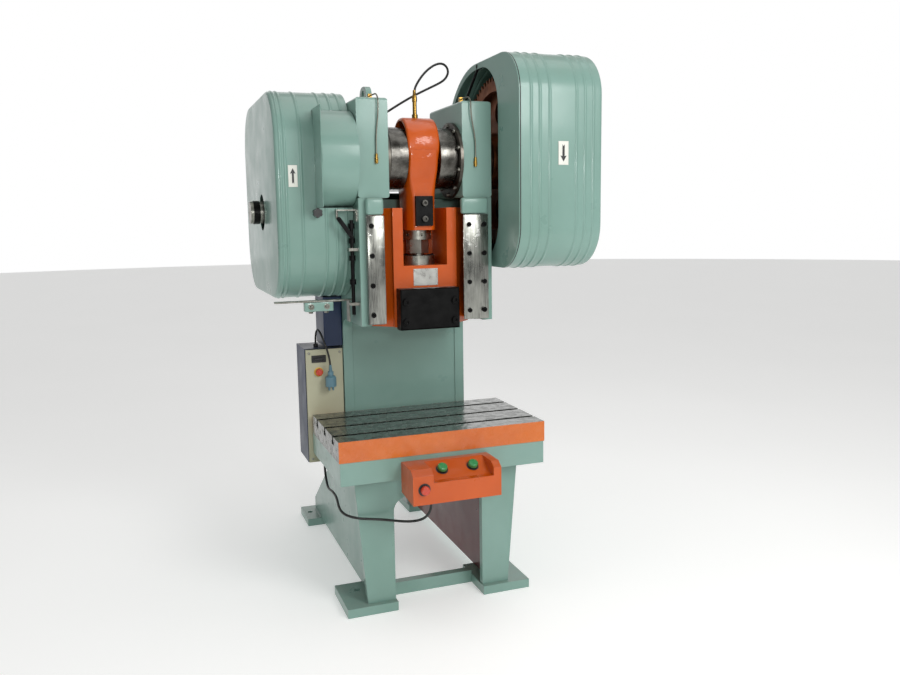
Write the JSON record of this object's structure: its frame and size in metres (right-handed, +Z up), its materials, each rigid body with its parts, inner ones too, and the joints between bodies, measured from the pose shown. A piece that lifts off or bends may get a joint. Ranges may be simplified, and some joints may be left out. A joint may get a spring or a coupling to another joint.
{
  "type": "mechanical stamping press",
  "caption": "Geared C-frame eccentric stamping press with a crank-driven ram, T-slotted bolster, flywheel and gear guards, and a two-hand console",
  "frame": {"origin": "on the floor, at the centre of the rectangle of four anchor holes", "axes": "+Z up, -Y towards the operator, +X to the operator's right, along the crankshaft"},
  "size_m": [1.392, 1.6535, 2.388],
  "materials": {
    "green_paint": "semi-gloss sea green machine enamel",
    "orange_paint": "glossy orange machine enamel",
    "navy_paint": "navy powder coat",
    "beige_paint": "beige powder coat with a light orange-peel texture",
    "motor_paint": "grey-green motor enamel",
    "bare_steel": "oiled machined steel",
    "bolster_steel": "ground steel with a film of rust-preventing oil",
    "forged_steel": "dark oiled forged steel",
    "cast_iron": "machined cast iron",
    "gear_iron": "cast iron in reddish primer, with cut teeth",
    "brass": "turned brass",
    "tube_steel": "bright drawn tube",
    "black_rubber": "matt black rubber",
    "black_plastic": "moulded black plastic",
    "plug_plastic": "moulded grey-blue plastic",
    "button_green": "moulded gloss plastic",
    "button_red": "moulded gloss plastic"
  },
  "bodies": {
    "frame": {"bearing_blocks": "green_paint", "bearing_rings": "cast_iron", "bed_plate": "green_paint", "bolster": "bolster_steel", "brake_cover": "green_paint", "cabinet_box": "navy_paint", "cabinet_panel": "beige_paint", "cable_glands": "black_plastic", "console_box": "orange_paint", "console_cable": "black_rubber", "crank_bushes": "bare_steel", "cross_walls": "green_paint", "feet": "green_paint", "flywheel_guard": "green_paint", "front_crossbar": "green_paint", "front_leg_plate": "green_paint", "gear_guard": "green_paint", "gib_screws": "bare_steel", "gibs": "bare_steel", "grease_hose_fixed": "black_rubber", "head_top_plate": "green_paint", "lifting_lug": "green_paint", "lubricator": "navy_paint", "motor_housing": "motor_paint", "motor_shelf": "green_paint", "oil_fittings": "brass", "oil_tubes": "tube_steel", "power_cord": "black_rubber", "power_plug": "plug_plastic", "shaft_housing": "cast_iron", "side_plate_left": "green_paint", "side_plate_right": "green_paint", "small_brackets": "bare_steel", "v_belts": "black_rubber"},
    "crank": {"crankshaft": "forged_steel", "brake_drum": "cast_iron"},
    "ram": {"ram": "orange_paint", "die_clamp": "forged_steel", "ram_screws": "forged_steel", "ball_cup": "bare_steel", "ball_retainer": "bare_steel"},
    "rod": {"connecting_rod": "orange_paint", "rod_clamp_plate": "forged_steel", "rod_clamp_bolts": "forged_steel", "adjusting_screw": "bare_steel", "lock_ring": "bare_steel", "grease_fitting": "brass", "grease_hose_moving": "black_rubber"},
    "flywheel": {"back_shaft": "bare_steel", "flywheel": "cast_iron", "drive_pinion": "cast_iron"},
    "main_gear": {"main_gear": "gear_iron"},
    "rotor": {"motor_shaft": "bare_steel", "motor_pulley": "cast_iron"},
    "clutch_rod": {"clutch_rod": "bare_steel"},
    "guard_knob": {"guard_knob": "black_plastic"},
    "palm_button_left": {"palm_button_left": "button_green"},
    "palm_button_right": {"palm_button_right": "button_green"},
    "stop_button": {"stop_button": "button_red"},
    "cabinet_button": {"cabinet_button": "button_red"}
  },
  "joints": [
    {"name": "crank_turn", "type": "hinge", "parent": "frame", "child": "crank", "pos_m": [0, -0.478, 1.945], "axis": [1, 0, 0], "range_deg": [0, 180]},
    {"name": "ram_slide", "type": "slide", "parent": "frame", "child": "ram", "axis": [0, 0, 1], "range_m": [-0.12, 0], "deforming": ["grease_hose_fixed"]},
    {"name": "rod_swing", "type": "hinge", "parent": "ram", "child": "rod", "pos_m": [0, -0.478, 1.44], "axis": [1, 0, 0], "range_deg": [-6.1, 6.1], "deforming": ["grease_hose_moving"]},
    {"name": "flywheel_turn", "type": "hinge", "parent": "frame", "child": "flywheel", "pos_m": [0, -0.09985, 1.73], "axis": [1, 0, 0], "continuous": true},
    {"name": "main_gear_turn", "type": "hinge", "parent": "frame", "child": "main_gear", "pos_m": [0, -0.478, 1.945], "axis": [1, 0, 0], "continuous": true},
    {"name": "rotor_turn", "type": "hinge", "parent": "frame", "child": "rotor", "pos_m": [0, 0.35, 1.52], "axis": [1, 0, 0], "continuous": true},
    {"name": "clutch_rod_slide", "type": "slide", "parent": "frame", "child": "clutch_rod", "axis": [0, 0, 1], "range_m": [-0.012, 0.012]},
    {"name": "guard_knob_turn", "type": "hinge", "parent": "frame", "child": "guard_knob", "pos_m": [-0.46, -0.56, 1.721], "axis": [0, 1, 0], "continuous": true},
    {"name": "palm_button_left_press", "type": "slide", "parent": "frame", "child": "palm_button_left", "axis": [0, 0.5131, -0.8584], "range_m": [0, 0.006], "stiffness_N_per_m": 1500, "springref_m": -0.003},
    {"name": "palm_button_right_press", "type": "slide", "parent": "frame", "child": "palm_button_right", "axis": [0, 0.5131, -0.8584], "range_m": [0, 0.006], "stiffness_N_per_m": 1500, "springref_m": -0.003},
    {"name": "stop_button_press", "type": "slide", "parent": "frame", "child": "stop_button", "axis": [0, 1, 0], "range_m": [0, 0.006], "stiffness_N_per_m": 1500, "springref_m": -0.003},
    {"name": "cabinet_button_press", "type": "slide", "parent": "frame", "child": "cabinet_button", "axis": [0, 1, 0], "range_m": [0, 0.006], "stiffness_N_per_m": 1500, "springref_m": -0.003}
  ],
  "couplings": [
    {"joint": "ram_slide", "follows": "crank_turn", "m_per_rad": -0.038197},
    {"joint": "main_gear_turn", "follows": "flywheel_turn", "ratio": -0.19178},
    {"joint": "rotor_turn", "follows": "flywheel_turn", "ratio": 6.1404}
  ]
}
